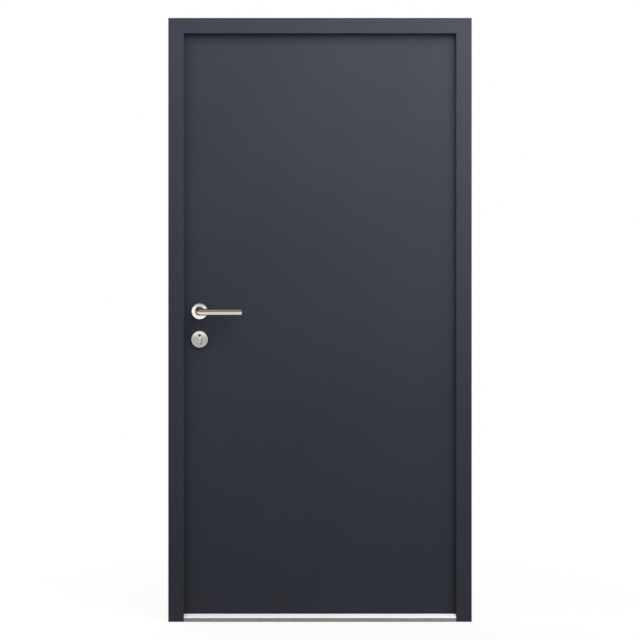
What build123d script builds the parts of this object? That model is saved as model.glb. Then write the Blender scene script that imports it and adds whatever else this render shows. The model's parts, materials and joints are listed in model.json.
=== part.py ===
"""Exterior door set: aluminium frame, insulated leaf, lever handle and threshold.

Frame of reference: +X to the right seen from outside, +Y from outside to inside, +Z up.
The origin is on the underside of the threshold, at mid width and mid depth of the frame.
All sizes are millimetres.
"""

import math
import os

from build123d import *

# Frame: overall size and the section shared by both jambs and the head
FRAME_WIDTH = 1000.0
FRAME_HEIGHT = 1990.0
FRAME_DEPTH = 70.0
FRAME_FACE = 51.0
FRAME_WALL = 2.0
FRAME_EDGE_RADIUS = 1.2
MITRE_GAP = 0.1
STOP_THICKNESS = 15.0
BREAK_DEPTH = 16.0
BREAK_BAR = 3.0
BREAK_FOOT = 5.0
BREAK_FOOT_DEPTH = 3.0
BREAK_LIP = 1.5
OUTER_CHAMBER_DEPTH = 14.0

# Fit of the leaf in the frame
LEAF_COVER = 14.0
EDGE_GAP = 8.0
STOP_GAP = 5.0
LIP_GAP = 5.0
LIP_COVER = 8.0
LIP_THICKNESS = 10.0
LEAF_FLOOR_GAP = 7.0

# Leaf skins
SKIN = 1.0
SKIN_RADIUS = 1.5
OUTER_RETURN = 13.0
LEAF_BREAK_DEPTH = 8.0
LEAF_BREAK_WALL = 3.0

# Seals
SEAL_GROOVE_WIDTH = 4.0
SEAL_GROOVE_DEPTH = 3.5
SEAL_WIDTH = 7.0
SEAL_GAP = 0.5
SEAL_SLACK = 0.2

# Threshold
SILL_NOSE_HEIGHT = 12.0
SILL_HEIGHT = 23.2
SILL_TOP_FLAT = 4.0
SILL_INNER_HEIGHT = 8.0
SILL_WALL = 2.0
SILL_NOSE_RADIUS = 3.0
SILL_OUTER_DEPTH = 43.0
SILL_BREAK_DEPTH = 10.0
TREAD_GROOVES = 3
TREAD_GROOVE_WIDTH = 1.6
TREAD_GROOVE_DEPTH = 0.8

# Lock, cylinder and strike
HANDLE_HEIGHT = 1024.0
BACKSET = 65.0
CYLINDER_DROP = 83.5
CYLINDER_ROSETTE_DROP = 9.5
LOCK_FROM_INSIDE = 13.0
FACEPLATE_WIDTH = 24.0
FACEPLATE_THICKNESS = 3.0
FACEPLATE_ABOVE = 85.0
FACEPLATE_BELOW = 155.0
CASE_DEPTH = 88.0
CASE_THICKNESS = 15.0
CASE_INSET = 22.0
FOLLOWER_BORE = 12.4
LATCH_SIZE = (28.0, 12.0, 30.0)
LATCH_RISE = 34.0
LATCH_PROUD = 1.0
LATCH_BEVEL = 4.0
BOLT_SIZE = (36.0, 11.0, 34.0)
BOLT_DROP = 40.0
BOLT_SLACK = 0.3
STRIKE_WIDTH = 22.0
STRIKE_THICKNESS = 2.0
STRIKE_HOLE_MARGIN = 1.5
PROFILE_HEAD_RADIUS = 8.5
PROFILE_BODY_WIDTH = 10.0
PROFILE_BELOW = 24.5
PROFILE_SLACK = 0.4
PLUG_RADIUS = 6.5
PLUG_LENGTH = 30.0
PLUG_SLACK = 0.1
CYLINDER_RECESS = 2.5
KEYWAY_WIDTH = 3.0
KEYWAY_HEIGHT = 7.4
KEYWAY_RISE = 1.9
KEYWAY_STEP = 1.0
KEYWAY_DEPTH = 24.0

# Lever set
LEVER_ROSETTE_RADIUS = 27.5
CYLINDER_ROSETTE_RADIUS = 28.5
ROSETTE_THICKNESS = 9.0
ROSETTE_EDGE_RADIUS = 3.0
SPINDLE_SIDE = 8.0
SPINDLE_HOLE = 22.0
SPINDLE_SOCKET = 22.0
COLLAR_RADIUS = 11.5
COLLAR_SLACK = 0.5
COLLAR_STANDOFF = 1.0
FLARE_RADIUS = 15.0
FLARE_RIM = 0.8
FLARE_LENGTH = 8.0
FLARE_GAP = 0.5
LEVER_RADIUS = 11.0
LEVER_REACH = 143.0
LEVER_PROJECTION = 50.0
LEVER_BEND = 16.0
LEVER_DROP = 4.0
LEVER_END_RADIUS = 1.5
SOCKET_SLACK = 0.05

# Hinges
HINGE_END_DISTANCE = 230.0
BARREL_RADIUS = 7.5
KNUCKLE_HEIGHT = 30.0
LEAF_KNUCKLE_HEIGHT = 34.0
KNUCKLE_GAP = 1.0
PIN_RADIUS = 4.0
PIN_SLACK = 0.1
PIN_CAP_HEIGHT = 3.5
HINGE_PLATE_THICKNESS = 4.0
HINGE_PLATE_REACH = 46.0
HINGE_PLATE_CORNER = 4.0

# Fixing holes through both walls of the jambs, for frame screws
FIXING_RADIUS = 4.0
FIXING_END_DISTANCE = 175.0
FIXING_MIDDLE_SPACING = 560.0

# Planes across the depth of the door, from outside to inside
exterior = -FRAME_DEPTH / 2
interior = FRAME_DEPTH / 2
stop_back = exterior + STOP_THICKNESS
outer_shell_back = stop_back + OUTER_CHAMBER_DEPTH
inner_shell_front = outer_shell_back + BREAK_DEPTH
leaf_front = stop_back + STOP_GAP
lip_back = interior + LIP_GAP
leaf_inside = lip_back + LIP_THICKNESS
lock_plane = interior - LOCK_FROM_INSIDE

# Outlines seen from the front
rebate = FRAME_FACE - LEAF_COVER - EDGE_GAP
half_width = FRAME_WIDTH / 2
clear_half = half_width - FRAME_FACE
rebate_half = half_width - rebate
leaf_half = rebate_half - EDGE_GAP
leaf_top = FRAME_HEIGHT - rebate - EDGE_GAP
leaf_bottom = SILL_INNER_HEIGHT + LEAF_FLOOR_GAP
lip_half = rebate_half + LIP_COVER
lip_top = FRAME_HEIGHT - rebate + LIP_COVER
spindle_x = -leaf_half + BACKSET
cylinder_z = HANDLE_HEIGHT - CYLINDER_DROP
cylinder_rosette_z = cylinder_z - CYLINDER_ROSETTE_DROP
hinge_x = half_width - BARREL_RADIUS
hinge_y = leaf_inside + HINGE_PLATE_THICKNESS - BARREL_RADIUS
fixing_heights = (
    FIXING_END_DISTANCE,
    (FRAME_HEIGHT - FIXING_MIDDLE_SPACING) / 2,
    (FRAME_HEIGHT + FIXING_MIDDLE_SPACING) / 2,
    FRAME_HEIGHT - FIXING_END_DISTANCE,
)
hinge_heights = {
    "upper": FRAME_HEIGHT - HINGE_END_DISTANCE,
    "middle": FRAME_HEIGHT / 2,
    "lower": HINGE_END_DISTANCE,
}

nodes = {}


def block(x, y, z):
    """A box between two limits on each axis."""
    size = [b - a for a, b in (x, y, z)]
    centre = [(a + b) / 2 for a, b in (x, y, z)]
    return Pos(*centre) * Box(*size)


def rectangle(x, y):
    """A flat rectangle between two limits on each axis."""
    return Pos((x[0] + x[1]) / 2, (y[0] + y[1]) / 2) * Rectangle(x[1] - x[0], y[1] - y[0])


def along_y(sketch, start, end):
    """Extrudes an X-Z outline from one depth to another."""
    plane = Plane(origin=(0, end, 0), x_dir=(1, 0, 0), z_dir=(0, -1, 0))
    return extrude(plane * sketch, amount=end - start)


def along_x(sketch, half_length):
    """Extrudes a Y-Z section to both sides of the middle."""
    return extrude(Plane.YZ * sketch, amount=half_length, both=True)


def frame_sides(section, foot=0.0):
    """Runs one section, drawn as distance from the wall against depth, round the frame.

    The two jambs start at the given height and meet the head in a mitre with a hairline gap.
    """
    corner = Plane(origin=(-half_width, 0, FRAME_HEIGHT), z_dir=(1, 0, 1))
    jamb = extrude(Plane(origin=(-half_width, 0, foot)) * section, amount=FRAME_HEIGHT - foot)
    jamb = split(jamb, bisect_by=corner.offset(-MITRE_GAP / 2), keep=Keep.BOTTOM)
    across = Plane(origin=(-half_width, 0, FRAME_HEIGHT), x_dir=(0, 0, -1), z_dir=(1, 0, 0))
    half_head = extrude(across * section, amount=half_width)
    half_head = split(half_head, bisect_by=corner.offset(MITRE_GAP / 2), keep=Keep.TOP)
    head = half_head + mirror(half_head, about=Plane.YZ)
    return jamb, head, mirror(jamb, about=Plane.YZ)


def seal_section(height):
    """A D-shaped seal bulb standing on a flat base, drawn round its own middle."""
    half = SEAL_WIDTH / 2
    radius = (half**2 + height**2) / (2 * height)
    bulb = Pos(0, height - radius) * Circle(radius)
    return bulb & rectangle((-half, half), (0, height))


def profile_outline(slack=0.0):
    """The outline of a euro-profile cylinder, round its turning axis."""
    body_half = PROFILE_BODY_WIDTH / 2 + slack
    foot = PROFILE_BELOW - PROFILE_BODY_WIDTH / 2
    outline = Circle(PROFILE_HEAD_RADIUS + slack)
    outline += rectangle((-body_half, body_half), (-foot, 0))
    return outline + Pos(0, -foot) * Circle(body_half)


# Jambs and head: an outer and an inner aluminium shell joined by two insulating bars
groove_middle = FRAME_FACE - (LEAF_COVER / 2) + 1.0
bar_inset = FRAME_WALL + BREAK_LIP + BREAK_FOOT / 2
bar_middles = (bar_inset, rebate - bar_inset)


def dovetail(middle, root, towards):
    """The foot of an insulating bar, widest where it stands on a shell."""
    tip = root + towards * BREAK_FOOT_DEPTH
    return make_face(
        Polyline(
            (middle - BREAK_FOOT / 2, root),
            (middle + BREAK_FOOT / 2, root),
            (middle + BREAK_BAR / 2, tip),
            (middle - BREAK_BAR / 2, tip),
            close=True,
        )
    )


def crimped_lips(root, towards):
    """The lips of a shell, rolled down onto the feet of both insulating bars."""
    reach = BREAK_FOOT / 2 + BREAK_LIP
    ends = sorted((root, root + towards * BREAK_FOOT_DEPTH))
    lips = Sketch()
    for middle in bar_middles:
        lips += rectangle((middle - reach, middle + reach), ends) - dovetail(middle, root, towards)
    return lips


def outer_shell_section():
    wall = FRAME_WALL
    groove_side = groove_middle - SEAL_GROOVE_WIDTH / 2 - wall
    section = rectangle((0, FRAME_FACE), (exterior, stop_back))
    section = fillet(section.vertices().sort_by(Axis.Y)[:2], FRAME_EDGE_RADIUS)
    section += rectangle((0, rebate), (stop_back, outer_shell_back))
    section -= rectangle((wall, groove_side), (exterior + wall, stop_back - wall))
    section -= rectangle(
        (groove_side + wall, FRAME_FACE - wall),
        (exterior + wall, stop_back - wall - SEAL_GROOVE_DEPTH),
    )
    section -= rectangle((wall, rebate - wall), (stop_back, outer_shell_back - wall))
    groove = (groove_middle - SEAL_GROOVE_WIDTH / 2, groove_middle + SEAL_GROOVE_WIDTH / 2)
    section -= rectangle(groove, (stop_back - SEAL_GROOVE_DEPTH, stop_back))
    return section + crimped_lips(outer_shell_back, 1)


def inner_shell_section():
    wall = FRAME_WALL
    section = rectangle((0, rebate), (inner_shell_front, interior))
    section = fillet(section.vertices().sort_by(Axis.Y)[-2:], FRAME_EDGE_RADIUS)
    section -= rectangle((wall, rebate - wall), (inner_shell_front + wall, interior - wall))
    return section + crimped_lips(inner_shell_front, -1)


def insulating_section():
    bars = Sketch()
    for middle in bar_middles:
        bars += rectangle(
            (middle - BREAK_BAR / 2, middle + BREAK_BAR / 2), (outer_shell_back, inner_shell_front)
        )
        bars += dovetail(middle, outer_shell_back, 1)
        bars += dovetail(middle, inner_shell_front, -1)
    return bars


def stop_seal_section():
    anchor_half = SEAL_GROOVE_WIDTH / 2 - SEAL_SLACK
    section = Pos(groove_middle, stop_back) * seal_section(STOP_GAP - SEAL_GAP)
    return section + rectangle(
        (groove_middle - anchor_half, groove_middle + anchor_half),
        (stop_back - SEAL_GROOVE_DEPTH, stop_back),
    )


def strike_holes():
    """The two pockets in the lock jamb that the latch and the dead bolt shoot into."""
    cuts = []
    for size, height in ((LATCH_SIZE, HANDLE_HEIGHT + LATCH_RISE), (BOLT_SIZE, HANDLE_HEIGHT - BOLT_DROP)):
        half_y = size[1] / 2 + STRIKE_HOLE_MARGIN
        half_z = size[2] / 2 + STRIKE_HOLE_MARGIN
        cuts.append(
            block(
                (-rebate_half - FRAME_WALL, -rebate_half + STRIKE_THICKNESS),
                (lock_plane - half_y, lock_plane + half_y),
                (height - half_z, height + half_z),
            )
        )
    return cuts


def fixing_holes(side):
    """Screw holes across both walls of one jamb's inner shell."""
    middle = (inner_shell_front + interior) / 2
    start = side * (half_width + 1)
    length = rebate + 2
    holes = []
    for height in fixing_heights:
        drill = Plane(origin=(start, middle, height), z_dir=(-side, 0, 0))
        holes.append(extrude(drill * Circle(FIXING_RADIUS), amount=length))
    return holes


outer_sides = frame_sides(outer_shell_section())
inner_sides = frame_sides(inner_shell_section())
insulating_sides = frame_sides(insulating_section())
seal_sides = frame_sides(stop_seal_section(), foot=SILL_INNER_HEIGHT)
for place, name in enumerate(("lock_jamb", "head", "hinge_jamb")):
    nodes[f"{name}_outer_shell"] = outer_sides[place]
    nodes[f"{name}_inner_shell"] = inner_sides[place]
    nodes[f"{name}_thermal_break"] = insulating_sides[place]
    nodes[f"{name}_seal"] = seal_sides[place]
nodes["lock_jamb_inner_shell"] -= strike_holes() + fixing_holes(-1)
nodes["hinge_jamb_inner_shell"] -= fixing_holes(1)


# Threshold: outer nose with upstand, insulating strip, inner tread
sill_break_front = exterior + SILL_OUTER_DEPTH
sill_break_back = sill_break_front + SILL_BREAK_DEPTH
upstand_front = stop_back - SILL_TOP_FLAT
seal_z = (leaf_bottom + SILL_HEIGHT) / 2


def sill_outer_section():
    wall = SILL_WALL
    outline = make_face(
        Polyline(
            (exterior, 0),
            (exterior, SILL_NOSE_HEIGHT),
            (upstand_front, SILL_HEIGHT),
            (stop_back, SILL_HEIGHT),
            (stop_back, SILL_INNER_HEIGHT),
            (sill_break_front, SILL_INNER_HEIGHT),
            (sill_break_front, 0),
            close=True,
        )
    )
    nose = outline.vertices().sort_by_distance((exterior, SILL_NOSE_HEIGHT, 0))[0]
    outline = fillet(nose, SILL_NOSE_RADIUS)
    crest = outline.vertices().sort_by_distance((upstand_front, SILL_HEIGHT, 0))[0]
    outline = fillet(crest, SILL_NOSE_RADIUS / 2)
    outline -= rectangle((exterior + wall, upstand_front - wall), (wall, SILL_NOSE_HEIGHT - wall))
    outline -= rectangle((stop_back, sill_break_front - wall), (wall, SILL_INNER_HEIGHT - wall))
    half_groove = SEAL_GROOVE_WIDTH / 2
    return outline - rectangle(
        (stop_back - SEAL_GROOVE_DEPTH, stop_back), (seal_z - half_groove, seal_z + half_groove)
    )


def coped(sill):
    """Cuts the front corners of a threshold piece round the jambs' stop legs."""
    for side in (-1, 1):
        ends = sorted((side * clear_half, side * (half_width + 1)))
        sill -= block(ends, (exterior - 1, stop_back), (-1, SILL_HEIGHT + 1))
    return sill


sill_outer = coped(along_x(sill_outer_section(), rebate_half))
nodes["threshold_nose"] = sill_outer
nodes["threshold_thermal_break"] = along_x(
    rectangle((sill_break_front, sill_break_back), (0, SILL_INNER_HEIGHT)), rebate_half
)
tread = rectangle((sill_break_back, interior), (0, SILL_INNER_HEIGHT))
tread = fillet(tread.vertices().sort_by(Axis.Y)[-1:], FRAME_EDGE_RADIUS)
tread -= rectangle(
    (sill_break_back + SILL_WALL, interior - SILL_WALL), (SILL_WALL, SILL_INNER_HEIGHT - SILL_WALL)
)
groove_pitch = (interior - sill_break_back) / (TREAD_GROOVES + 1)
for count in range(TREAD_GROOVES):
    middle = sill_break_back + groove_pitch * (count + 1)
    tread -= rectangle(
        (middle - TREAD_GROOVE_WIDTH / 2, middle + TREAD_GROOVE_WIDTH / 2),
        (SILL_INNER_HEIGHT - TREAD_GROOVE_DEPTH, SILL_INNER_HEIGHT),
    )
nodes["threshold_tread"] = along_x(tread, rebate_half)
sill_seal = Pos(stop_back, seal_z) * Rot(0, 0, -90) * seal_section(STOP_GAP - SEAL_GAP)
sill_anchor_half = SEAL_GROOVE_WIDTH / 2 - SEAL_SLACK
sill_seal += rectangle(
    (stop_back - SEAL_GROOVE_DEPTH, stop_back), (seal_z - sill_anchor_half, seal_z + sill_anchor_half)
)
nodes["threshold_seal"] = along_x(sill_seal, clear_half)


# Leaf: two folded skins, an insulating strip between their edges and a rigid foam core
break_front = leaf_front + OUTER_RETURN
break_back = break_front + LEAF_BREAK_DEPTH


def leaf_block(inset, y):
    """The leaf's body, inset from its edges, between two depths."""
    return block(
        (-leaf_half + inset, leaf_half - inset), y, (leaf_bottom + inset, leaf_top - inset)
    )


def lip_block(inset):
    """The overlapping lip round three sides of the leaf's inside face."""
    return block(
        (-lip_half + inset, lip_half - inset),
        (lip_back + inset, leaf_inside - inset),
        (leaf_bottom + inset, lip_top - inset),
    )


def spindle_cut(radius):
    return along_y(Pos(spindle_x, HANDLE_HEIGHT) * Circle(radius), leaf_front, leaf_inside)


def cylinder_cut():
    outline = Pos(spindle_x, cylinder_z) * profile_outline(PROFILE_SLACK)
    return along_y(outline, leaf_front, leaf_inside)


faceplate_middle = HANDLE_HEIGHT + (FACEPLATE_ABOVE - FACEPLATE_BELOW) / 2
faceplate_height = FACEPLATE_ABOVE + FACEPLATE_BELOW


def faceplate_solid():
    plane = Plane(origin=(-leaf_half, lock_plane, faceplate_middle), x_dir=(0, 0, 1), z_dir=(1, 0, 0))
    outline = plane * SlotOverall(faceplate_height, FACEPLATE_WIDTH)
    return extrude(outline, amount=FACEPLATE_THICKNESS)


def case_block():
    start = -leaf_half + FACEPLATE_THICKNESS
    return block(
        (start, start + CASE_DEPTH),
        (lock_plane - CASE_THICKNESS / 2, lock_plane + CASE_THICKNESS / 2),
        (
            HANDLE_HEIGHT - FACEPLATE_BELOW + CASE_INSET,
            HANDLE_HEIGHT + FACEPLATE_ABOVE - CASE_INSET,
        ),
    )


through_cuts = [spindle_cut(SPINDLE_HOLE / 2), cylinder_cut()]
lock_pocket = [faceplate_solid(), case_block()]

outer_skin = leaf_block(0, (leaf_front, break_front))
outer_skin = fillet(outer_skin.faces().sort_by(Axis.Y)[0].edges(), SKIN_RADIUS)
outer_skin -= leaf_block(SKIN, (leaf_front + SKIN, break_front))
nodes["leaf_outer_skin"] = outer_skin - through_cuts

inner_skin = leaf_block(0, (break_back, lip_back)) + lip_block(0)
inner_skin = fillet(inner_skin.faces().sort_by(Axis.Y)[-1].edges(), SKIN_RADIUS)
inner_cavity = leaf_block(SKIN, (break_back, leaf_inside - SKIN)) + lip_block(SKIN)
nodes["leaf_inner_skin"] = inner_skin - inner_cavity - through_cuts - lock_pocket

leaf_break = leaf_block(0, (break_front, break_back))
leaf_break -= leaf_block(LEAF_BREAK_WALL, (break_front, break_back))
nodes["leaf_thermal_break"] = leaf_break

core = leaf_block(SKIN, (leaf_front + SKIN, break_front))
core += leaf_block(LEAF_BREAK_WALL, (break_front, break_back))
nodes["leaf_core"] = core + inner_cavity - through_cuts - lock_pocket

lip_seal_middle = rebate - LIP_COVER / 2
lip_seal = Pos(lip_seal_middle, lip_back) * Rot(0, 0, 180) * seal_section(LIP_GAP - SEAL_GAP)
for name, solid in zip(("lock_side", "top", "hinge_side"), frame_sides(lip_seal, foot=leaf_bottom)):
    nodes[f"leaf_seal_{name}"] = solid


# Mortise lock with its drawn-in latch and dead bolt, and the strike plate
def bolt_solid(size, height, proud, slack=0.0):
    """A bolt tongue lying in the lock case, its tip standing out of the faceplate."""
    tip = -leaf_half - proud
    half_y = size[1] / 2 + slack
    half_z = size[2] / 2 + slack
    return block(
        (tip, tip + size[0] + slack),
        (lock_plane - half_y, lock_plane + half_y),
        (height - half_z, height + half_z),
    )


latch_z = HANDLE_HEIGHT + LATCH_RISE
bolt_z = HANDLE_HEIGHT - BOLT_DROP
lock_body = faceplate_solid() + case_block()
lock_body -= [
    spindle_cut(FOLLOWER_BORE / 2),
    cylinder_cut(),
    bolt_solid(LATCH_SIZE, latch_z, LATCH_PROUD, BOLT_SLACK),
    bolt_solid(BOLT_SIZE, bolt_z, 0, BOLT_SLACK),
]
nodes["mortise_lock"] = lock_body

latch = bolt_solid(LATCH_SIZE, latch_z, LATCH_PROUD)
bevel_edge = latch.edges().filter_by(Axis.Z).sort_by(Axis.X)[:2].sort_by(Axis.Y)[0]
nodes["latch_bolt"] = chamfer(bevel_edge, LATCH_BEVEL, LATCH_BEVEL * 2)
nodes["dead_bolt"] = bolt_solid(BOLT_SIZE, bolt_z, 0)

strike_plane = Plane(
    origin=(-rebate_half, lock_plane, faceplate_middle), x_dir=(0, 0, 1), z_dir=(1, 0, 0)
)
strike = extrude(strike_plane * SlotOverall(faceplate_height, STRIKE_WIDTH), amount=STRIKE_THICKNESS)
nodes["strike_plate"] = strike - strike_holes()


# Lever rosettes, cylinder rosettes and the cylinder
def to_inside(solid):
    """Mirrors a piece of the outside furniture onto the inside face of the leaf."""
    return mirror(solid, about=Plane.XZ.offset(-(leaf_front + leaf_inside) / 2))


def rosette(radius, outline_cut, height):
    disc = Pos(spindle_x, height) * Circle(radius)
    solid = along_y(disc, leaf_front - ROSETTE_THICKNESS, leaf_front)
    rim = solid.faces().sort_by(Axis.Y)[0].edges()
    solid = fillet(rim, ROSETTE_EDGE_RADIUS)
    return solid - along_y(outline_cut, leaf_front - ROSETTE_THICKNESS, leaf_front)


collar_hole = Pos(spindle_x, HANDLE_HEIGHT) * Circle(COLLAR_RADIUS + COLLAR_SLACK)
lever_rosette = rosette(LEVER_ROSETTE_RADIUS, collar_hole, HANDLE_HEIGHT)
cylinder_hole = Pos(spindle_x, cylinder_z) * profile_outline(PROFILE_SLACK)
cylinder_rosette = rosette(CYLINDER_ROSETTE_RADIUS, cylinder_hole, cylinder_rosette_z)
nodes["outside_lever_rosette"] = lever_rosette
nodes["inside_lever_rosette"] = to_inside(lever_rosette)
nodes["outside_cylinder_rosette"] = cylinder_rosette
nodes["inside_cylinder_rosette"] = to_inside(cylinder_rosette)

cylinder_front = leaf_front - ROSETTE_THICKNESS + CYLINDER_RECESS
cylinder_back = leaf_inside + ROSETTE_THICKNESS - CYLINDER_RECESS
cylinder_axis = Pos(spindle_x, cylinder_z)


def cylinder_plug(slack=0.0):
    end = cylinder_front + PLUG_LENGTH + slack
    return along_y(cylinder_axis * Circle(PLUG_RADIUS + slack), cylinder_front, end)


def keyway():
    """A stepped slot for a flat key, open at the plug's face, in its upper half."""
    half = KEYWAY_HEIGHT / 2
    side = KEYWAY_WIDTH / 2
    slot = rectangle((-side, side), (-half, half))
    slot += rectangle((-side - KEYWAY_STEP, -side + KEYWAY_STEP), (-half, -half / 3))
    slot += rectangle((side - KEYWAY_STEP, side + KEYWAY_STEP / 2), (half / 6, half / 2))
    place = cylinder_axis * Pos(0, KEYWAY_RISE)
    return along_y(place * slot, cylinder_front, cylinder_front + KEYWAY_DEPTH)


plug_bore = cylinder_plug(PLUG_SLACK)
cylinder_body = along_y(cylinder_axis * profile_outline(), cylinder_front, cylinder_back)
nodes["lock_cylinder"] = cylinder_body - [plug_bore, to_inside(plug_bore)]
plug = cylinder_plug() - keyway()
nodes["outside_key_plug"] = plug
nodes["inside_key_plug"] = to_inside(plug)


# Lever handles on one square spindle
def lever():
    """A round bar that rises from a flare on the rosette, bends and runs towards the hinges."""
    outward = Vector(0, -1, 0)
    sideways = Vector(1, 0, 0)
    flare_start = leaf_front - ROSETTE_THICKNESS - FLARE_GAP
    flare_rim = flare_start - FLARE_RIM
    neck_height = HANDLE_HEIGHT - LEVER_DROP
    neck_start = Vector(spindle_x, flare_rim - FLARE_LENGTH, neck_height)
    elbow = Vector(spindle_x, leaf_front - LEVER_PROJECTION, neck_height)
    bend_start = elbow - outward * LEVER_BEND
    bend_end = elbow + sideways * LEVER_BEND
    tip = elbow + sideways * LEVER_REACH
    path = Line(neck_start, bend_start)
    path += TangentArc(bend_start, bend_end, tangent=outward)
    path += Line(bend_end, tip)
    bar = sweep(Plane(origin=neck_start, z_dir=outward) * Circle(LEVER_RADIUS), path=path)
    end_rim = bar.faces().sort_by(Axis.X)[-1].edges()
    bar = fillet(end_rim, LEVER_END_RADIUS)
    turning_axis = Pos(spindle_x, HANDLE_HEIGHT)
    collar = along_y(turning_axis * Circle(COLLAR_RADIUS), flare_start, leaf_front - COLLAR_STANDOFF)
    rim = along_y(turning_axis * Circle(FLARE_RADIUS), flare_rim, flare_start)
    flare = loft(
        [
            Plane(origin=(spindle_x, flare_rim, HANDLE_HEIGHT), z_dir=outward) * Circle(FLARE_RADIUS),
            Plane(origin=neck_start, z_dir=outward) * Circle(LEVER_RADIUS),
        ]
    )
    half = SPINDLE_SIDE / 2 + SOCKET_SLACK
    socket = block(
        (spindle_x - half, spindle_x + half),
        (leaf_front - SPINDLE_SOCKET, leaf_front),
        (HANDLE_HEIGHT - half, HANDLE_HEIGHT + half),
    )
    return bar + flare + rim + collar - socket


outside_lever = lever()
nodes["outside_lever"] = outside_lever
nodes["inside_lever"] = to_inside(outside_lever)
spindle_half = SPINDLE_SIDE / 2
nodes["spindle"] = block(
    (spindle_x - spindle_half, spindle_x + spindle_half),
    (leaf_front - SPINDLE_SOCKET, leaf_inside + SPINDLE_SOCKET),
    (HANDLE_HEIGHT - spindle_half, HANDLE_HEIGHT + spindle_half),
)


# Barrel hinges: two knuckles on the frame, one on the leaf, and a capped pin
half_leaf_knuckle = LEAF_KNUCKLE_HEIGHT / 2
barrel_half = half_leaf_knuckle + KNUCKLE_GAP + KNUCKLE_HEIGHT


def upright(sketch, low, high):
    return extrude(Plane(origin=(0, 0, low)) * sketch, amount=high - low)


def frame_knuckles(height):
    barrel = Pos(hinge_x, hinge_y) * Circle(BARREL_RADIUS)
    foot = rectangle((hinge_x - BARREL_RADIUS, hinge_x + BARREL_RADIUS), (interior, hinge_y))
    bore = Pos(hinge_x, hinge_y) * Circle(PIN_RADIUS + PIN_SLACK)
    section = barrel + foot - bore
    inner = half_leaf_knuckle + KNUCKLE_GAP
    lower = upright(section, height - barrel_half, height - inner)
    return lower, upright(section, height + inner, height + barrel_half)


def leaf_knuckle(height):
    barrel = Pos(hinge_x, hinge_y) * Circle(BARREL_RADIUS)
    plate = rectangle(
        (lip_half - HINGE_PLATE_REACH, hinge_x), (leaf_inside, leaf_inside + HINGE_PLATE_THICKNESS)
    )
    bore = Pos(hinge_x, hinge_y) * Circle(PIN_RADIUS + PIN_SLACK)
    section = barrel + plate - bore
    solid = upright(section, height - half_leaf_knuckle, height + half_leaf_knuckle)
    free_corners = solid.edges().filter_by(Axis.Y).sort_by(Axis.X)[:2]
    return fillet(free_corners, HINGE_PLATE_CORNER)


def hinge_pin(height):
    pin = upright(Circle(PIN_RADIUS), -barrel_half, barrel_half)
    cap = upright(Circle(BARREL_RADIUS), barrel_half, barrel_half + PIN_CAP_HEIGHT)
    cap = fillet(cap.faces().sort_by(Axis.Z)[-1].edges(), PIN_CAP_HEIGHT * 0.8)
    return Pos(hinge_x, hinge_y, height) * (pin + cap + mirror(cap, about=Plane.XY))


for name, height in hinge_heights.items():
    nodes[f"{name}_hinge_frame_knuckles"] = Compound(children=list(frame_knuckles(height)))
    nodes[f"{name}_hinge_leaf_knuckle"] = leaf_knuckle(height)
nodes["hinge_pins"] = Compound(children=[hinge_pin(height) for height in hinge_heights.values()])

os.makedirs("parts", exist_ok=True)
for name, shape in nodes.items():
    export_step(shape, f"parts/{name}.step")
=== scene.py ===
"""The exterior door's looks: materials, small fasteners, floor, light and camera."""
import json
import math

import bmesh
import bpy
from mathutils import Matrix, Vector


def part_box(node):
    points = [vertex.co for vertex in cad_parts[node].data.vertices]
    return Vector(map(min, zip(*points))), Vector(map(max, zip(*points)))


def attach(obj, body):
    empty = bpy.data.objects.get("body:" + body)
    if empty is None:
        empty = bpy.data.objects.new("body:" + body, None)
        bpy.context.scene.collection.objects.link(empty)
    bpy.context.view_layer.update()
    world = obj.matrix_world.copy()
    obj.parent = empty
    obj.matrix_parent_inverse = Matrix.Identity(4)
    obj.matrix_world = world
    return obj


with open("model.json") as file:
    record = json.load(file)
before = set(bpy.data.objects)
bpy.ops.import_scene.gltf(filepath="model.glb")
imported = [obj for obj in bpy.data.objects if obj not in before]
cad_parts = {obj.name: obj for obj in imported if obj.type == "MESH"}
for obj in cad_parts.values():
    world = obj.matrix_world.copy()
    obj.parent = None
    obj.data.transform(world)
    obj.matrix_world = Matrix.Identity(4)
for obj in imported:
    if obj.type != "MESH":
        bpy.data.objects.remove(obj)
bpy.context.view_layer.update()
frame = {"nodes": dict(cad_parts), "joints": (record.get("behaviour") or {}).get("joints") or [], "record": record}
scene = bpy.context.scene
nodes = frame["nodes"]


# Places read from the CAD model
def middle(node):
    low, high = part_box(node)
    return (low + high) / 2


joint_places = {joint["name"]: Vector(joint["pos_m"]) for joint in frame["joints"]}
spindle = joint_places["handle_turn"]
hinge_axis = joint_places["leaf_swing"]
FACE_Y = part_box("head_outer_shell")[0].y
LEAF_OUT_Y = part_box("leaf_outer_skin")[0].y
LEAF_IN_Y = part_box("leaf_inner_skin")[1].y
PLUG_FACES_Y = (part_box("outside_key_plug")[0].y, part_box("inside_key_plug")[1].y)
HINGES = ("upper", "middle", "lower")

# Colours as linear red, green and blue; a pair is the two ends of a mottled surface
WHITE = (1.0, 1.0, 1.0)
PAINT = (0.034, 0.0372, 0.0495)
DUST = (0.2, 0.19, 0.175)
STEEL = (0.94, 0.935, 0.925)
LEVER_STEEL = (0.72, 0.665, 0.6)
LOCK_STEEL = (0.62, 0.62, 0.61)
ZINC = (0.6, 0.6, 0.6)
NICKEL = (0.78, 0.77, 0.75)
WORN_NICKEL = (0.65, 0.64, 0.625)
ANODISED = (0.85, 0.865, 0.885)
RUBBER = (0.018, 0.018, 0.019)
PLASTIC = (0.024, 0.024, 0.026)
# painted highlight for the threshold's nose
NOSE_HIGHLIGHT_TONES = ((0.93, 0.94, 0.95), (0.97, 0.975, 0.98))
# painted shade for the threshold's upright front face
FRONT_SHADE_TONES = ((0.27, 0.27, 0.267), (0.33, 0.33, 0.326))
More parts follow.
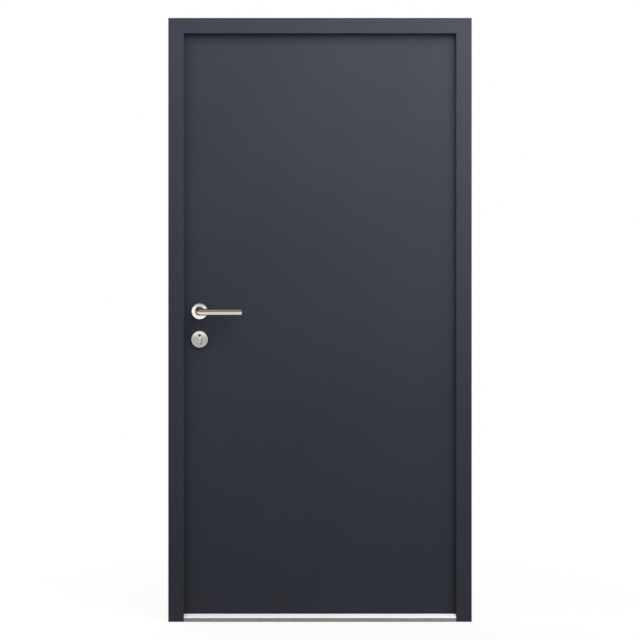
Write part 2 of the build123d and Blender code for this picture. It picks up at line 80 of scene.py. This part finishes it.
# painted shade for the rosettes' turned steel
STEEL_SHADE_TONES = ((0.33, 0.333, 0.338), (0.5, 0.503, 0.508))
# painted shade inside the keyway and round its mouth
KEYWAY_SHADE_TONES = ((0.012, 0.011, 0.01), (0.03, 0.027, 0.022))
# painted shadow beside the right side of the cylinder's foot
GAP_SHADOW_TONES = ((0.02, 0.019, 0.018), (0.045, 0.043, 0.04))
FOAM = ((0.62, 0.5, 0.27), (0.8, 0.68, 0.42))

# Stretch of the grain along each axis: the smallest number is the way the lines run
ALONG_X = (0.8, 30.0, 30.0)
ALONG_Y = (20.0, 1.0, 20.0)
ALONG_Z = (40.0, 40.0, 0.8)
ALONG_SILL = (0.6, 40.0, 40.0)
EVEN = (30.0, 30.0, 30.0)

# Dusty places, and places of painted shade, shadow and highlight: distances in metres, each pair from start to end
NOSE_DEPTHS = (0.0025, 0.005)
FRONT_DEPTHS = (0.0002, 0.0012)
DUST_HEIGHTS = (0.01, 0.22)
# painted shade on the lever rosette, above the lever
TOP_SHADE_HEIGHTS = (0.011, 0.022)
# painted shade on the cylinder rosette, below the keyway
LOW_SHADE_HEIGHTS = (0.004, 0.022)
GAP_SHADOW_ACROSS = (0.004, 0.007)
GAP_SHADOW_HEIGHTS = (-0.024, -0.01)
GAP_SHADOW_FADE = 0.004
MOUTH_RISE = 0.0032
MOUTH_RADII = (0.0034, 0.0052)
UNSHADED_FACE = 0.0008
SOFT_EDGE = 0.0006

# How much of the metal's own colour the painted shade on the rosettes and round the keyway hides
ROSETTE_SHADE_SHARE = 0.95
MOUTH_SHADE_SHARE = 0.97

# Most of a noise texture lies between these values
NOISE_LOW = 0.3
NOISE_HIGH = 0.7


# Helpers for node trees
def new_material(name):
    material = bpy.data.materials.new(name)
    material.use_nodes = True
    return material, material.node_tree, material.node_tree.nodes["Principled BSDF"]


def add(tree, kind, **properties):
    node = tree.nodes.new(kind)
    for key, value in properties.items():
        setattr(node, key, value)
    return node


def link(tree, source, target):
    tree.links.new(source, target)


def position(tree, scale=(1.0, 1.0, 1.0), shift=(0.0, 0.0, 0.0)):
    """The surface point in metres, stretched along each axis and then moved."""
    coordinates = add(tree, "ShaderNodeTexCoord")
    mapping = add(tree, "ShaderNodeMapping")
    mapping.inputs["Scale"].default_value = scale
    mapping.inputs["Location"].default_value = shift
    link(tree, coordinates.outputs["Object"], mapping.inputs["Vector"])
    return mapping.outputs["Vector"]


def noise(tree, vector, scale, detail, roughness=0.5):
    texture = add(tree, "ShaderNodeTexNoise")
    texture.inputs["Scale"].default_value = scale
    texture.inputs["Detail"].default_value = detail
    texture.inputs["Roughness"].default_value = roughness
    link(tree, vector, texture.inputs["Vector"])
    return texture.outputs["Fac"]


def length(tree, vector):
    node = add(tree, "ShaderNodeVectorMath", operation="LENGTH")
    link(tree, vector, node.inputs[0])
    return node.outputs["Value"]


def axis_value(tree, vector, axis):
    node = add(tree, "ShaderNodeSeparateXYZ")
    link(tree, vector, node.inputs[0])
    return node.outputs[axis]


def ramp(tree, factor, stops):
    """A colour ramp from (place, colour) stops."""
    node = add(tree, "ShaderNodeValToRGB")
    elements = node.color_ramp.elements
    while len(elements) < len(stops):
        elements.new(0.5)
    for element, (place, colour) in zip(elements, stops):
        element.position = place
        element.color = (*colour, 1.0)
    link(tree, factor, node.inputs["Fac"])
    return node.outputs["Color"]


def two_tone(tree, factor, colours, start=NOISE_LOW, end=NOISE_HIGH):
    return ramp(tree, factor, list(zip((start, end), colours)))


def remap(tree, factor, low, high, start=NOISE_LOW, end=NOISE_HIGH):
    """A value that goes from low to high while the factor goes from start to end."""
    node = add(tree, "ShaderNodeMapRange")
    node.inputs["From Min"].default_value = start
    node.inputs["From Max"].default_value = end
    node.inputs["To Min"].default_value = low
    node.inputs["To Max"].default_value = high
    link(tree, factor, node.inputs["Value"])
    return node.outputs["Result"]


def combine(tree, operation, first, second):
    """The product of two values, or the larger of them."""
    node = add(tree, "ShaderNodeMath", operation=operation)
    link(tree, first, node.inputs[0])
    link(tree, second, node.inputs[1])
    return node.outputs[0]


def between(tree, value, low, high, soft):
    """One between two limits, fading to nothing over a soft width outside them."""
    rising = remap(tree, value, 0.0, 1.0, low - soft, low)
    falling = remap(tree, value, 1.0, 0.0, high, high + soft)
    return combine(tree, "MULTIPLY", rising, falling)


def mix_colour(tree, factor, first, second):
    node = add(tree, "ShaderNodeMix", data_type="RGBA")
    link(tree, factor, node.inputs["Factor"])
    for value, socket in ((first, node.inputs[6]), (second, node.inputs[7])):
        if isinstance(value, tuple):
            socket.default_value = (*value, 1.0)
        else:
            link(tree, value, socket)
    return node.outputs[2]


def mix_shader(tree, factor, first, second):
    node = add(tree, "ShaderNodeMixShader")
    link(tree, factor, node.inputs["Fac"])
    link(tree, first, node.inputs[1])
    link(tree, second, node.inputs[2])
    return node.outputs[0]


def bump(tree, height, distance, strength, under=None):
    node = add(tree, "ShaderNodeBump")
    node.inputs["Strength"].default_value = strength
    node.inputs["Distance"].default_value = distance
    link(tree, height, node.inputs["Height"])
    if under is not None:
        link(tree, under, node.inputs["Normal"])
    return node.outputs["Normal"]


def shade(colour, factor):
    return tuple(min(1.0, channel * factor) for channel in colour)


def shifted(origin, distances):
    return [origin + distance for distance in distances]


def dress(tree, shader, base, roughness, relief):
    """Joins colour, roughness and relief to a material's shader."""
    link(tree, base, shader.inputs["Base Color"])
    link(tree, roughness, shader.inputs["Roughness"])
    link(tree, relief, shader.inputs["Normal"])


# Materials
def powder_coat(name, colour, dusty=0.0):
    """Satin powder coat: fine orange peel, faint clouding, a trace of dust low down."""
    material, tree, shader = new_material(name)
    point = position(tree)
    clouds = noise(tree, point, scale=2.3, detail=4.0)
    patches = noise(tree, point, scale=38.0, detail=5.0)
    peel = noise(tree, point, scale=420.0, detail=2.0)
    grain = noise(tree, point, scale=900.0, detail=2.0)
    base = two_tone(tree, clouds, (shade(colour, 0.95), shade(colour, 1.05)))
    speckle = remap(tree, grain, 0.0, 0.14, start=0.45, end=0.8)
    base = mix_colour(tree, speckle, base, shade(colour, 1.6))
    if dusty:
        height = axis_value(tree, point, "Z")
        low_down = remap(tree, height, dusty, 0.0, *DUST_HEIGHTS)
        streaks = noise(tree, position(tree, (9.0, 9.0, 1.2)), scale=3.0, detail=5.0)
        base = mix_colour(tree, combine(tree, "MULTIPLY", low_down, streaks), base, DUST)
    shader.inputs["Specular IOR Level"].default_value = 0.08
    relief = bump(tree, peel, distance=0.00008, strength=0.3)
    relief = bump(tree, grain, distance=0.00003, strength=0.3, under=relief)
    roughness = remap(tree, patches, 0.43, 0.47)
    dress(tree, shader, base, roughness, relief)
    return material


def straight_grain(stretch):
    """Grain lines along the axis with the smallest stretch."""
    return lambda tree: noise(tree, position(tree, stretch), scale=60.0, detail=6.0, roughness=0.7)


def from_axis(tree, axis_point):
    """Distance from an axis along Y."""
    return length(tree, position(tree, (1.0, 0.0, 1.0), (-axis_point.x, 0.0, -axis_point.z)))


def turned_grain(axis_point):
    """Rings left by a lathe round an axis along Y."""

    def grain(tree):
        texture = add(tree, "ShaderNodeTexNoise", noise_dimensions="1D")
        texture.inputs["Scale"].default_value = 9000.0
        texture.inputs["Detail"].default_value = 3.0
        link(tree, from_axis(tree, axis_point), texture.inputs["W"])
        return texture.outputs["Fac"]

    return grain


def metal(name, colour, grain, roughness, metallic=1.0):
    """Worked metal: grain lines in colour, gloss and relief, with faint handling marks."""
    material, tree, shader = new_material(name)
    lines = grain(tree)
    marks = noise(tree, position(tree), scale=30.0, detail=3.0)
    base = two_tone(tree, lines, (shade(colour, 0.88), shade(colour, 1.1)), end=0.72)
    base = mix_colour(tree, remap(tree, marks, 0.0, 0.22), base, shade(colour, 0.8))
    shader.inputs["Metallic"].default_value = metallic
    relief = bump(tree, lines, distance=0.00004, strength=0.3)
    dress(tree, shader, base, remap(tree, lines, *roughness), relief)
    return material


def repaint(material, factor_of, colour_of):
    """Lays a second colour over a material's own, where the factor says."""
    tree = material.node_tree
    socket = tree.nodes["Principled BSDF"].inputs["Base Color"]
    below = socket.links[0].from_socket
    link(tree, mix_colour(tree, factor_of(tree), below, colour_of(tree)), socket)
    return material


def mottled_shade(colours):
    """An uneven painted shade."""
    return lambda tree: two_tone(tree, noise(tree, position(tree), scale=300.0, detail=3.0), colours)


# Mottled grey that paints shade on the rosettes' turned steel.
def painted_steel_shade(tree):
    point = position(tree, (2.0, 2.0, 1.0), (0.3, 0.0, 0.1))
    return two_tone(tree, noise(tree, point, scale=260.0, detail=4.0, roughness=0.7), STEEL_SHADE_TONES)


def threshold_finish(name, colour):
    """Matt anodised aluminium with a painted highlight on its nose; the upright front face is grey with painted
    shade.
    """

    def near_face(depths):
        def factor(tree):
            depth = axis_value(tree, position(tree), "Y")
            return remap(tree, depth, 1.0, 0.0, *shifted(FACE_Y, depths))

        return factor

    # Painted highlight: the nose is lighter than the rest of the threshold.
    def nose_highlight(tree):
        highlight_streaks = noise(tree, position(tree, (0.4, 30.0, 30.0)), scale=60.0, detail=3.0)
        return two_tone(tree, highlight_streaks, NOSE_HIGHLIGHT_TONES)

    # Painted shade: the upright front face is a darker, mottled grey.
    def front_shade(tree):
        marks = noise(tree, position(tree, (1.0, 1.0, 3.0)), scale=40.0, detail=5.0)
        return two_tone(tree, marks, FRONT_SHADE_TONES)

    aluminium = metal(name, colour, straight_grain(ALONG_SILL), roughness=(0.36, 0.5), metallic=0.1)
    repaint(aluminium, near_face(NOSE_DEPTHS), nose_highlight)
    return repaint(aluminium, near_face(FRONT_DEPTHS), front_shade)


def key_plug_finish(name, colour):
    """Turned nickel at the face, with painted shade inside the keyway and a painted shadow round its mouth."""
    plug = middle("outside_key_plug")
    mouth = plug + Vector((0.0, 0.0, MOUTH_RISE))
    front = PLUG_FACES_Y[0] + UNSHADED_FACE
    back = PLUG_FACES_Y[1] - UNSHADED_FACE

    # Painted shade: dark deeper in than the plug's face, and round the keyway's mouth.
    def inside(tree):
        deep = between(tree, axis_value(tree, position(tree), "Y"), front, back, SOFT_EDGE)
        near = remap(tree, from_axis(tree, mouth), MOUTH_SHADE_SHARE, 0.0, *MOUTH_RADII)
        return combine(tree, "MAXIMUM", deep, near)

    nickel = metal(name, colour, turned_grain(plug), roughness=(0.22, 0.34))
    return repaint(nickel, inside, mottled_shade(KEYWAY_SHADE_TONES))


def rosette_shaded_on_top(name, colour):
    """Turned steel, with painted shade over the part above the lever."""
    centre = middle("outside_lever_rosette")

    # Painted shade: the rosette is darker above the lever.
    def painted_shade_mask(tree):
        height = axis_value(tree, position(tree), "Z")
        return remap(tree, height, 0.0, ROSETTE_SHADE_SHARE, *shifted(centre.z, TOP_SHADE_HEIGHTS))

    steel = metal(name, colour, turned_grain(centre), roughness=(0.14, 0.22))
    return repaint(steel, painted_shade_mask, painted_steel_shade)


def rosette_shaded_low(name, colour):
    """Turned steel, with painted shade below the keyway and a painted shadow beside the right side of the
    cylinder's foot.
    """
    centre = middle("outside_cylinder_rosette")
    plug = middle("outside_key_plug")

    # Painted shade: the rosette is darker below the keyway.
    def painted_shade_mask(tree):
        height = axis_value(tree, position(tree), "Z")
        return remap(tree, height, ROSETTE_SHADE_SHARE, 0.0, *shifted(centre.z, LOW_SHADE_HEIGHTS))

    # Painted shadow: a dark strip beside the right side of the cylinder's foot.
    def gap_shadow_mask(tree):
        point = position(tree)
        across = between(tree, axis_value(tree, point, "X"), *shifted(plug.x, GAP_SHADOW_ACROSS), SOFT_EDGE)
        along = between(tree, axis_value(tree, point, "Z"), *shifted(plug.z, GAP_SHADOW_HEIGHTS), GAP_SHADOW_FADE)
        return combine(tree, "MULTIPLY", across, along)

    steel = metal(name, colour, turned_grain(centre), roughness=(0.16, 0.26))
    return repaint(repaint(steel, painted_shade_mask, painted_steel_shade), gap_shadow_mask, mottled_shade(GAP_SHADOW_TONES))


def rubber(name, colour):
    """Soft black rubber with a grey bloom."""
    material, tree, shader = new_material(name)
    point = position(tree)
    bloom = noise(tree, point, scale=24.0, detail=5.0)
    pores = noise(tree, point, scale=1400.0, detail=2.0)
    base = two_tone(tree, bloom, (colour, shade(colour, 2.2)), start=0.35, end=0.75)
    roughness = remap(tree, bloom, 0.62, 0.8)
    relief = bump(tree, pores, distance=0.00008, strength=0.4)
    dress(tree, shader, base, roughness, relief)
    return material


def plastic(name, colour):
    """Glass-filled black plastic with pale fibre specks."""
    material, tree, shader = new_material(name)
    fibres = noise(tree, position(tree, (900.0, 900.0, 120.0)), scale=1.0, detail=2.0)
    base = two_tone(tree, fibres, (colour, shade(colour, 4.0)), start=0.55, end=0.8)
    roughness = remap(tree, fibres, 0.45, 0.6)
    relief = bump(tree, fibres, distance=0.00005, strength=0.3)
    dress(tree, shader, base, roughness, relief)
    return material


def foam(name, colours):
    """Rigid foam with small cells."""
    material, tree, shader = new_material(name)
    cells = add(tree, "ShaderNodeTexVoronoi")
    cells.inputs["Scale"].default_value = 700.0
    link(tree, position(tree), cells.inputs["Vector"])
    depth = cells.outputs["Distance"]
    link(tree, two_tone(tree, depth, colours, start=0.1), shader.inputs["Base Color"])
    shader.inputs["Roughness"].default_value = 0.9
    link(tree, bump(tree, depth, distance=0.0005, strength=0.6), shader.inputs["Normal"])
    return material


screw_steel = metal("screw_zinc", ZINC, straight_grain(EVEN), (0.3, 0.42))
insulating_plastic = plastic("insulating_plastic", PLASTIC)
BY_SLOT = {
    "frame_paint": powder_coat("frame_powder_coat", PAINT, dusty=0.04),
    "leaf_paint": powder_coat("leaf_powder_coat", shade(PAINT, 0.97), dusty=0.03),
    "hinge_metal": powder_coat("hinge_powder_coat", shade(PAINT, 1.04)),
    "threshold_aluminium": threshold_finish("threshold_anodised", ANODISED),
    "handle_steel": metal("lever_satin_steel", LEVER_STEEL, straight_grain(ALONG_X), (0.16, 0.26)),
    "lock_steel": metal("lock_satin_steel", LOCK_STEEL, straight_grain(ALONG_Z), (0.28, 0.4)),
    "cylinder_nickel": metal("cylinder_nickel", WORN_NICKEL, straight_grain(ALONG_Y), (0.26, 0.38)),
    "seal_rubber": rubber("seal_rubber", RUBBER),
    "insulating_plastic": insulating_plastic,
    "core_foam": foam("core_foam", FOAM),
}
lever_rosette_steel = rosette_shaded_on_top("lever_rosette_turned_steel", STEEL)
cylinder_rosette_steel = rosette_shaded_low("cylinder_rosette_turned_steel", STEEL)
plug_nickel = key_plug_finish("key_plug_nickel", shade(NICKEL, 1.1))
BY_NODE = {}
for side in ("outside", "inside"):
    BY_NODE[f"{side}_lever_rosette"] = lever_rosette_steel
    BY_NODE[f"{side}_cylinder_rosette"] = cylinder_rosette_steel
    BY_NODE[f"{side}_key_plug"] = plug_nickel
for subpart in frame["record"]["subparts"]:
    node_name = subpart["node"]
    nodes[node_name].data.materials.clear()
    nodes[node_name].data.materials.append(BY_NODE.get(node_name, BY_SLOT[subpart["material_slot"]]))

# Small fasteners: sizes in metres, each screw with the radius and height of its head
ROUND = 40
SHARP_ANGLE = math.radians(35)
PLATE_SCREW = (0.0042, 0.0007)
CYLINDER_SCREW = (0.0046, 0.0007)
HINGE_SCREW = (0.0038, 0.0007)
TREAD_SCREW = (0.0045, 0.0005)
SET_SCREW = (0.0025, 0.0004)
SET_SCREW_SOCKET = 0.0013
SET_SCREW_DEPTH = 0.0016
SET_SCREW_SINK = 0.00022
NECK_DISTANCE = 0.026
PLATE_SCREW_INSET = 0.013
HINGE_SCREW_SPOTS = ((0.011, 0.0085), (0.011, -0.0085), (0.031, 0.0))
TREAD_SCREWS = 4
TREAD_SCREW_SINK = 0.0003
WASHER_INNER = 0.0042
WASHER_OUTER = 0.0073
WASHER_HEIGHT = 0.0009
WASHER_EDGE = 0.0002
WASHER_PLAY = 0.00005

# A screw head as shares of its radius and height, and its recess as shares of the radius
HEAD_PROFILE = ((1.0, -0.3), (1.0, 0.25), (0.96, 0.66), (0.84, 1.0))
RECESS_TAPER = 0.82
CROSS_REACH = 0.55
CROSS_HALF = 0.13
CROSS_DEPTH = 0.35


def on_circle(radius, count):
    angles = [2 * math.pi * step / count for step in range(count)]
    return [(radius * math.cos(angle), radius * math.sin(angle)) for angle in angles]


def cross_outline(reach, half):
    """The twelve corners of a cross-shaped recess."""
    corners = []
    for across, along in ((1, 0), (0, 1), (-1, 0), (0, -1)):
        side = Vector((-along, across)) * half
        tip = Vector((across, along)) * reach
        inner = Vector((across, along)) * half
        corners += [inner - side, tip - side, tip + side]
    return [tuple(corner) for corner in corners]


def add_ring(builder, outline, height):
    return [builder.verts.new((x, y, height)) for x, y in outline]


def bridge(builder, first, second):
    for step in range(len(first)):
        after = (step + 1) % len(first)
        builder.faces.new((first[step], first[after], second[after], second[step]))


def loop_edges(builder, ring):
    return [builder.edges.get((ring[step - 1], ring[step])) for step in range(len(ring))]


def screw_head(size, recess, depth):
    """A low domed head with a sunken recess, standing on Z = 0."""
    radius, height = size
    builder = bmesh.new()
    rings = [add_ring(builder, on_circle(radius * wide, ROUND), height * high) for wide, high in HEAD_PROFILE]
    for low, high in zip(rings, rings[1:]):
        bridge(builder, low, high)
    mouth = add_ring(builder, recess, height)
    sunk = add_ring(builder, [(x * RECESS_TAPER, y * RECESS_TAPER) for x, y in recess], height - depth)
    bridge(builder, sunk, mouth)
    builder.faces.new(sunk)
    builder.faces.new(rings[0])
    edges = loop_edges(builder, rings[-1]) + loop_edges(builder, mouth)
    bmesh.ops.triangle_fill(builder, use_beauty=True, edges=edges)
    return builder


def flat_ring(inner, outer, height, edge):
    """A washer with broken edges, from Z = 0 up."""
    builder = bmesh.new()
    profile = (
        (inner, edge),
        (inner + edge, 0.0),
        (outer - edge, 0.0),
        (outer, edge),
        (outer, height - edge),
        (outer - edge, height),
        (inner + edge, height),
        (inner, height - edge),
    )
    rings = [add_ring(builder, on_circle(radius, ROUND), level) for radius, level in profile]
    for low, high in zip(rings, rings[1:] + rings[:1]):
        bridge(builder, low, high)
    return builder


def fit(name, builder, material, body, place, direction):
    """Turns a built shape into a piece that sits at a place, faces a direction and rides on a body."""
    bmesh.ops.recalc_face_normals(builder, faces=builder.faces)
    mesh = bpy.data.meshes.new(name)
    builder.to_mesh(mesh)
    builder.free()
    mesh.shade_smooth()
    mesh.set_sharp_from_angle(angle=SHARP_ANGLE)
    mesh.materials.append(material)
    piece = bpy.data.objects.new(name, mesh)
    piece.location = place
    piece.rotation_euler = Vector(direction).to_track_quat("Z", "Y").to_euler()
    scene.collection.objects.link(piece)
    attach(piece, body)


def cross_screw(name, body, place, direction, size):
    radius = size[0]
    recess = cross_outline(radius * CROSS_REACH, radius * CROSS_HALF)
    head = screw_head(size, recess, radius * CROSS_DEPTH)
    fit(name, head, screw_steel, body, place, direction)


def lock_screws():
    """Screws of the faceplate and the strike plate, and the one that holds the cylinder."""
    plate_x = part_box("mortise_lock")[0].x
    strike_low, strike_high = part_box("strike_plate")
    lock_y = middle("strike_plate").y
    ends = {"bottom": strike_low.z + PLATE_SCREW_INSET, "top": strike_high.z - PLATE_SCREW_INSET}
    for end, height in ends.items():
        cross_screw(f"faceplate_screw_{end}", "leaf", (plate_x, lock_y, height), (-1, 0, 0), PLATE_SCREW)
        cross_screw(f"strike_screw_{end}", "frame", (strike_high.x, lock_y, height), (1, 0, 0), PLATE_SCREW)
    cylinder_z = middle("outside_key_plug").z
    cross_screw("cylinder_screw", "leaf", (plate_x, lock_y, cylinder_z), (-1, 0, 0), CYLINDER_SCREW)
    bolts_z = (middle("latch_bolt").z + middle("dead_bolt").z) / 2
    cross_screw("strike_screw_middle", "frame", (strike_high.x, lock_y, bolts_z), (1, 0, 0), PLATE_SCREW)


def hinge_fittings():
    """Three screws in each hinge plate, and a nylon washer at each joint of the knuckles."""
    for hinge in HINGES:
        low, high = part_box(f"{hinge}_hinge_leaf_knuckle")
        mid_z = (low.z + high.z) / 2
        for count, (inset, rise) in enumerate(HINGE_SCREW_SPOTS, 1):
            place = (low.x + inset, high.y, mid_z + rise)
            cross_screw(f"{hinge}_hinge_screw_{count}", "leaf", place, (0, 1, 0), HINGE_SCREW)
        starts = {"lower": low.z - WASHER_HEIGHT - WASHER_PLAY, "upper": high.z + WASHER_PLAY}
        for end, start in starts.items():
            washer = flat_ring(WASHER_INNER, WASHER_OUTER, WASHER_HEIGHT, WASHER_EDGE)
            place = (hinge_axis.x, hinge_axis.y, start)
            name = f"{hinge}_hinge_{end}_washer"
            fit(name, washer, insulating_plastic, "frame", place, (0, 0, 1))


def lever_fittings():
    """The set screw under each lever's neck."""
    necks = {"outside": LEAF_OUT_Y - NECK_DISTANCE, "inside": LEAF_IN_Y + NECK_DISTANCE}
    for side, neck_y in necks.items():
        set_screw = screw_head(SET_SCREW, on_circle(SET_SCREW_SOCKET, 6), SET_SCREW_DEPTH)
        place = (spindle.x, neck_y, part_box(f"{side}_lever")[0].z + SET_SCREW_SINK)
        fit(f"{side}_lever_set_screw", set_screw, screw_steel, "handle", place, (0, 0, -1))


def tread_screws():
    """A row of screws along the middle of the threshold's tread."""
    low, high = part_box("threshold_tread")
    tread_y = middle("threshold_tread").y
    for count in range(TREAD_SCREWS):
        along = low.x + (high.x - low.x) * (count + 0.5) / TREAD_SCREWS
        place = (along, tread_y, high.z - TREAD_SCREW_SINK)
        cross_screw(f"tread_screw_{count + 1}", "frame", place, (0, 0, 1), TREAD_SCREW)


lock_screws()
hinge_fittings()
lever_fittings()
tread_screws()

# Floor, light and camera
FLOOR_HALF_SIZE = 30.0
FLOOR_DROP = 0.0006
FLOOR_TINTS = ((0.8, 0.8, 0.8), (0.84, 0.84, 0.84))
FLOOR_BOUNCE = (0.3, 0.3, 0.3)
SIDE_WHITE = (0.9, 0.9, 0.9)
DIM_BROWN = (0.13, 0.095, 0.065)
OVERHEAD = [
    (0.0, WHITE),
    (0.14, WHITE),
    (0.22, DIM_BROWN),
    (0.5, DIM_BROWN),
    (0.75, (0.48, 0.41, 0.34)),
    (0.93, (0.5, 0.43, 0.36)),
    (1.0, (0.2, 0.17, 0.13)),
]
WARM = (1.0, 0.97, 0.95)
COOL = (0.97, 0.98, 1.0)
AMBIENT_STRENGTH = 0.16

# Each lamp's name, place, target, size in metres, power in watts and colour
LAMPS = (
    ("key", (2.3, -1.4, 2.4), (2.3, 0.0, 2.4), (4.6, 3.0), 66.0, WARM),
    ("fill", (-1.4, -0.7, 2.2), (-0.3, 0.0, 1.6), (1.2, 3.0), 21.0, COOL),
    ("right", (1.0, -1.15, 2.75), (0.5, 0.0, 1.9), (1.6, 1.6), 48.0, WARM),
    ("top", (-0.6, -1.0, 3.6), (-0.6, -0.6, 0.0), (3.0, 1.2), 18.0, COOL),
    ("back", (-1.0, 1.9, 2.4), (-0.6, 0.0, 2.0), (4.0, 2.6), 74.0, COOL),
    ("left", (-2.2, 0.7, 1.6), (-0.5, 0.1, 1.2), (1.4, 2.4), 19.0, COOL),
)
CAMERA_DISTANCE = 4.0
CAMERA_HEIGHT = 0.9945
SENSOR_WIDTH = 36.0
METRES_PER_PIXEL = 0.0032945
HALF_PICTURE = 320


def seen_directly(tree):
    """One for rays from the camera and for reflections, nothing for rays that carry light."""
    rays = add(tree, "ShaderNodeLightPath")
    first = combine(tree, "MAXIMUM", rays.outputs["Is Camera Ray"], rays.outputs["Is Glossy Ray"])
    return combine(tree, "MAXIMUM", first, rays.outputs["Is Transmission Ray"])


def make_floor():
    """A pale floor that fades to white; near the door it keeps the door's shadow."""
    mesh = bpy.data.meshes.new("floor")
    builder = bmesh.new()
    bmesh.ops.create_grid(builder, x_segments=1, y_segments=1, size=FLOOR_HALF_SIZE)
    builder.to_mesh(mesh)
    builder.free()
    floor = bpy.data.objects.new("floor", mesh)
    floor.location = (0.0, 0.0, -FLOOR_DROP)
    scene.collection.objects.link(floor)
    material, tree, shader = new_material("floor_pale")
    shader.inputs["Roughness"].default_value = 0.9
    shader.inputs["Specular IOR Level"].default_value = 0.1
    point = position(tree)
    tint = two_tone(tree, noise(tree, point, scale=3.0, detail=4.0), FLOOR_TINTS)
    seen = seen_directly(tree)
    link(tree, mix_colour(tree, seen, FLOOR_BOUNCE, tint), shader.inputs["Base Color"])
    whiteness = remap(tree, length(tree, point), 0.85, 1.0, start=0.6, end=1.3)
    white = add(tree, "ShaderNodeEmission")
    share = combine(tree, "MULTIPLY", whiteness, seen)
    surface = mix_shader(tree, share, shader.outputs[0], white.outputs[0])
    link(tree, surface, tree.nodes["Material Output"].inputs["Surface"])
    mesh.materials.append(material)


def make_world():
    """White to the camera; reflections show a warm dim ceiling, and a soft even light falls on the door."""
    world = bpy.data.worlds.new("studio")
    world.use_nodes = True
    scene.world = world
    tree = world.node_tree
    white = tree.nodes["Background"]
    white.inputs["Color"].default_value = (*WHITE, 1.0)
    direction = add(tree, "ShaderNodeTexCoord").outputs["Generated"]
    height = axis_value(tree, direction, "Z")
    aside = axis_value(tree, direction, "X")
    edge = remap(tree, combine(tree, "MULTIPLY", aside, aside), 0.0, 1.0)
    edge = combine(tree, "MULTIPLY", edge, remap(tree, height, 1.0, 0.0, start=0.1, end=0.3))
    reflected = add(tree, "ShaderNodeBackground")
    colours = mix_colour(tree, edge, ramp(tree, height, OVERHEAD), SIDE_WHITE)
    link(tree, colours, reflected.inputs["Color"])
    ambient = add(tree, "ShaderNodeBackground")
    ambient.inputs["Color"].default_value = (*COOL, 1.0)
    ambient.inputs["Strength"].default_value = AMBIENT_STRENGTH
    rays = add(tree, "ShaderNodeLightPath")
    surface = mix_shader(tree, seen_directly(tree), ambient.outputs[0], reflected.outputs[0])
    surface = mix_shader(tree, rays.outputs["Is Camera Ray"], surface, white.outputs[0])
    link(tree, surface, tree.nodes["World Output"].inputs["Surface"])


def area_light(name, place, target, size, power, colour):
    """A wide soft panel that faces a target; it isn't seen itself, also not in metal."""
    data = bpy.data.lights.new(name, "AREA")
    data.shape = "RECTANGLE"
    data.size, data.size_y = size
    data.energy = power
    data.color = colour
    lamp = bpy.data.objects.new(name, data)
    lamp.location = place
    lamp.rotation_euler = (Vector(target) - Vector(place)).to_track_quat("-Z", "Y").to_euler()
    lamp.visible_glossy = False
    lamp.visible_camera = False
    scene.collection.objects.link(lamp)


def make_camera():
    """Straight on, at mid height, with the frame filling the picture as in the photo."""
    data = bpy.data.cameras.new("camera")
    data.sensor_width = SENSOR_WIDTH
    data.lens = SENSOR_WIDTH / 2 * CAMERA_DISTANCE / (METRES_PER_PIXEL * HALF_PICTURE)
    camera = bpy.data.objects.new("camera", data)
    camera.location = (0.0, FACE_Y - CAMERA_DISTANCE, CAMERA_HEIGHT)
    camera.rotation_euler = (math.pi / 2, 0.0, 0.0)
    scene.collection.objects.link(camera)
    scene.camera = camera


make_floor()
make_world()
for lamp_values in LAMPS:
    area_light(*lamp_values)
make_camera()
scene.view_settings.view_transform = "Standard"
